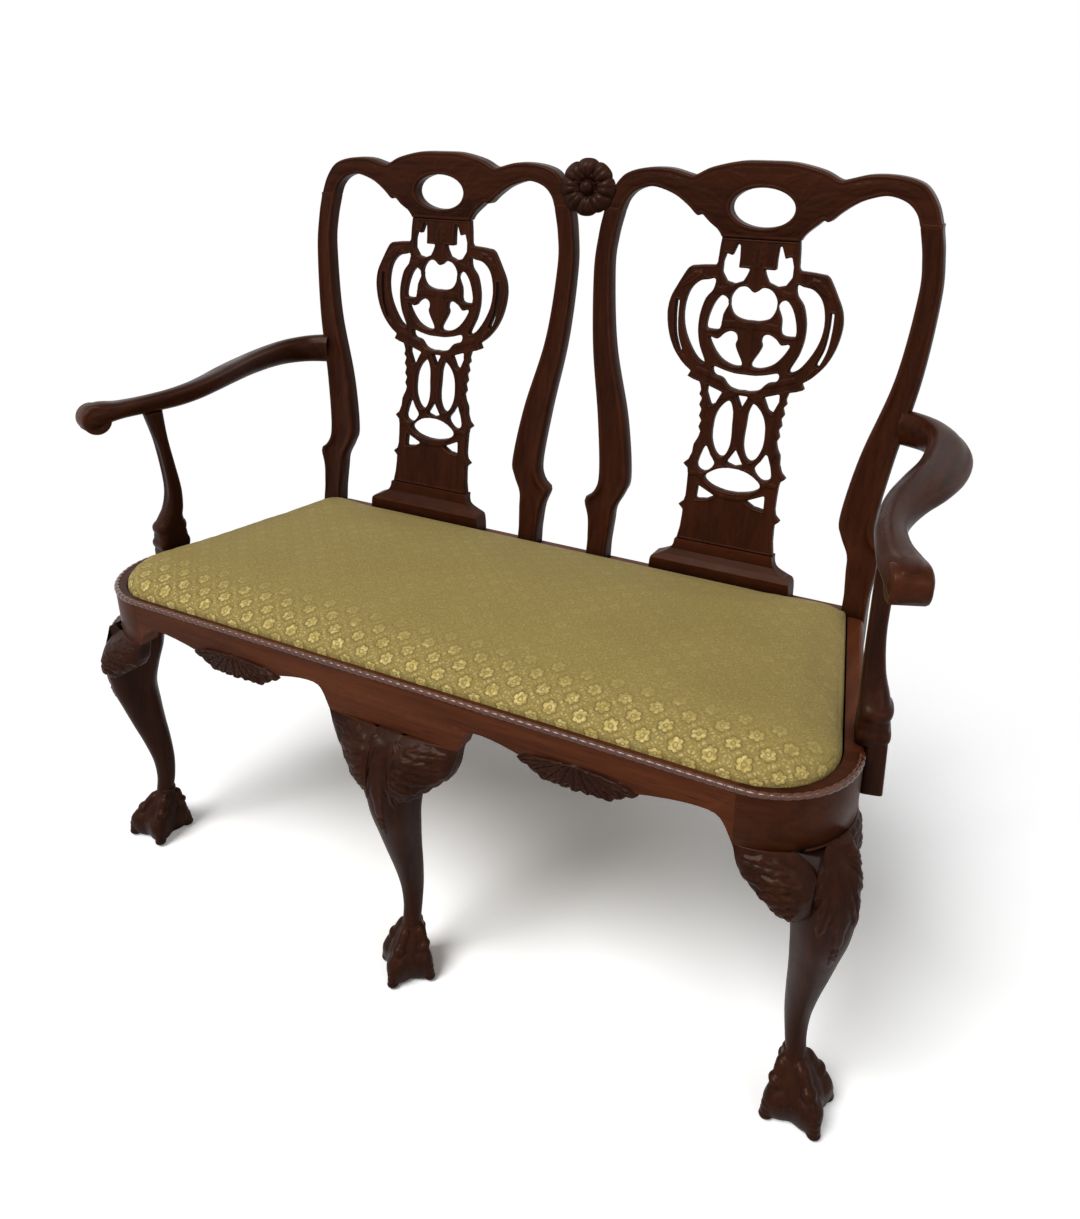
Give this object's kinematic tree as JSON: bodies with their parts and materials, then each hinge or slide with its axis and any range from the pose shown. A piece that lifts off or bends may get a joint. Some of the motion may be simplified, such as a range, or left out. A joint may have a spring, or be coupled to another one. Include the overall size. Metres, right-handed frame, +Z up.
{
  "type": "chair-back settee",
  "caption": "Chair-back settee with pierced splats, open serpentine arms, a drop-in upholstered seat and cabriole front legs with claw-and-ball feet.",
  "frame": {"origin": "on the floor, under the middle of the settee's box", "axes": "+X to the right as seen from the front, +Y towards the back, +Z up"},
  "size_m": [1.1432, 0.5708, 1],
  "materials": {
    "mahogany": "polished, dark red-brown",
    "secondary_wood": "unfinished",
    "damask": "woven gold diaper on olive",
    "jute": "woven",
    "stuffing": "matted fibre",
    "screw_brass": "dull",
    "tack_brass": "dull"
  },
  "bodies": {
    "frame": {"front_rail": "mahogany", "rail_corner_left": "mahogany", "rail_corner_right": "mahogany", "side_rail_left": "mahogany", "side_rail_right": "mahogany", "rear_rail": "mahogany", "centre_brace": "secondary_wood", "corner_blocks": "secondary_wood", "front_leg_left": "mahogany", "front_leg_centre": "mahogany", "front_leg_right": "mahogany", "bracket_left_front": "mahogany", "bracket_left_side": "mahogany", "bracket_centre_left": "mahogany", "bracket_centre_right": "mahogany", "bracket_right_front": "mahogany", "bracket_right_side": "mahogany", "outer_post_left": "mahogany", "outer_post_right": "mahogany", "inner_post_left": "mahogany", "inner_post_right": "mahogany", "rear_leg_centre": "mahogany", "crest_left": "mahogany", "crest_right": "mahogany", "splat_left": "mahogany", "splat_right": "mahogany", "shoe_left": "mahogany", "shoe_right": "mahogany", "rosette": "mahogany", "arm_left": "mahogany", "arm_right": "mahogany", "arm_support_left": "mahogany", "arm_support_right": "mahogany", "leg_dowels": "secondary_wood", "corner_screws": "screw_brass", "support_screws": "screw_brass"},
    "drop_in_seat": {"seat_frame_front": "secondary_wood", "seat_frame_back": "secondary_wood", "seat_frame_left": "secondary_wood", "seat_frame_right": "secondary_wood", "seat_frame_middle": "secondary_wood", "seat_webbing": "jute", "seat_hessian": "jute", "seat_stuffing": "stuffing", "seat_cover": "damask", "cover_tacks": "tack_brass"}
  },
  "joints": [
    {"name": "seat_lift", "type": "slide", "parent": "frame", "child": "drop_in_seat", "axis": [0, 0, 1], "range_m": [0, 0.1]}
  ]
}
